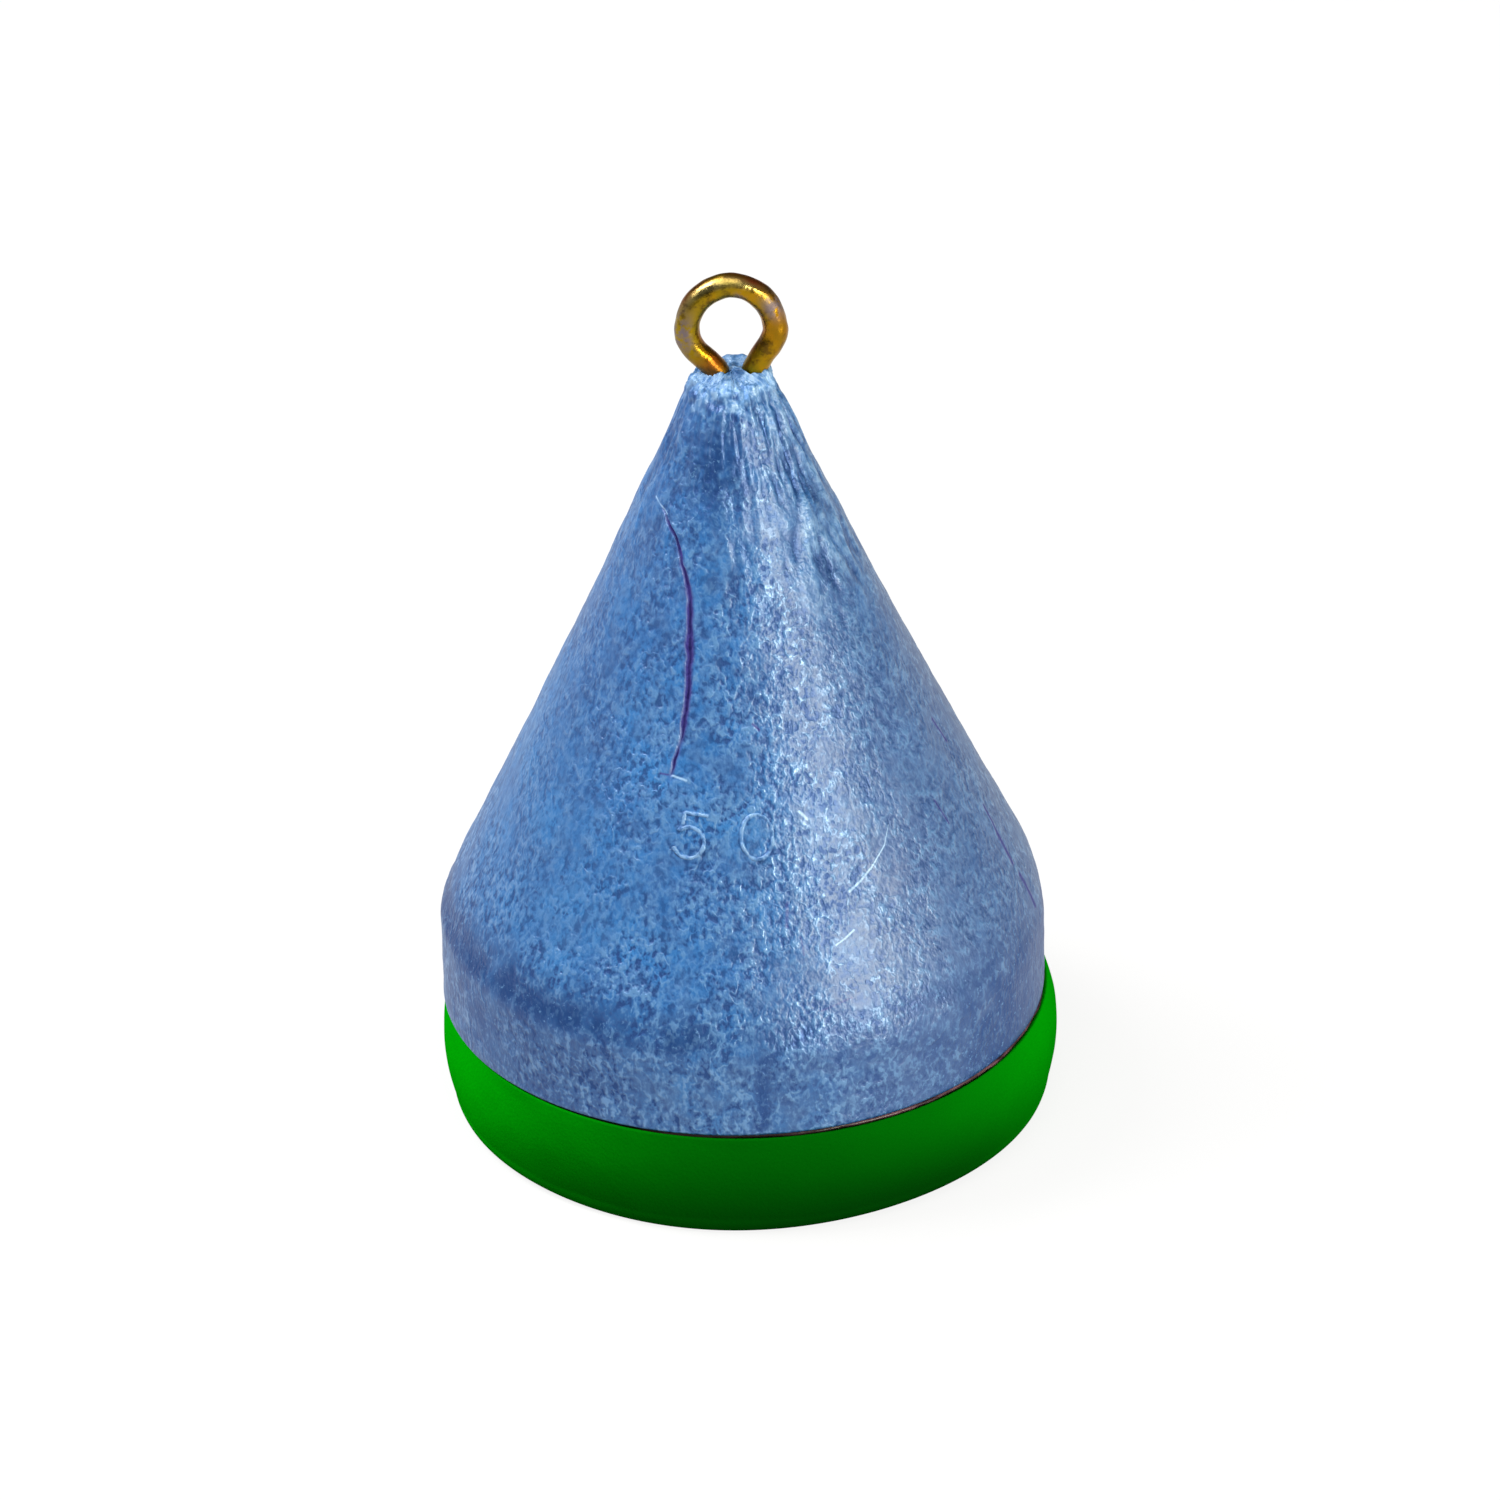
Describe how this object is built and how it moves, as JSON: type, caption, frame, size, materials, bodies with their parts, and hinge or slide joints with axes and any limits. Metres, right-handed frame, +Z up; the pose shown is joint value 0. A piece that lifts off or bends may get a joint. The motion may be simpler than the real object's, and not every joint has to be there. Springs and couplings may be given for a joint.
{
  "type": "fishing plummet",
  "caption": "Cast lead cone with a brass wire eye in its tip and a soft pad glued under its foot, for sounding the depth of water with a hooked line.",
  "frame": {"origin": "middle of the pad's flat underside", "axes": "+Z up along the cone's axis towards the eye; the eye lies in the XZ plane, so the line runs through it along Y; -Y faces the viewer of the picture"},
  "size_m": [0.0224, 0.0224, 0.0333],
  "materials": {
    "lead": "cast, dull blue-grey with a fine crystalline bloom",
    "brass_wire": "drawn, half bright with brown and grey tarnish",
    "glue": "set adhesive",
    "pad": "soft closed-cell foam, matt"
  },
  "bodies": {
    "root": {"lead_body": "lead", "wire_eye": "brass_wire", "glue_film": "glue", "base_pad": "pad"}
  },
  "joints": []
}
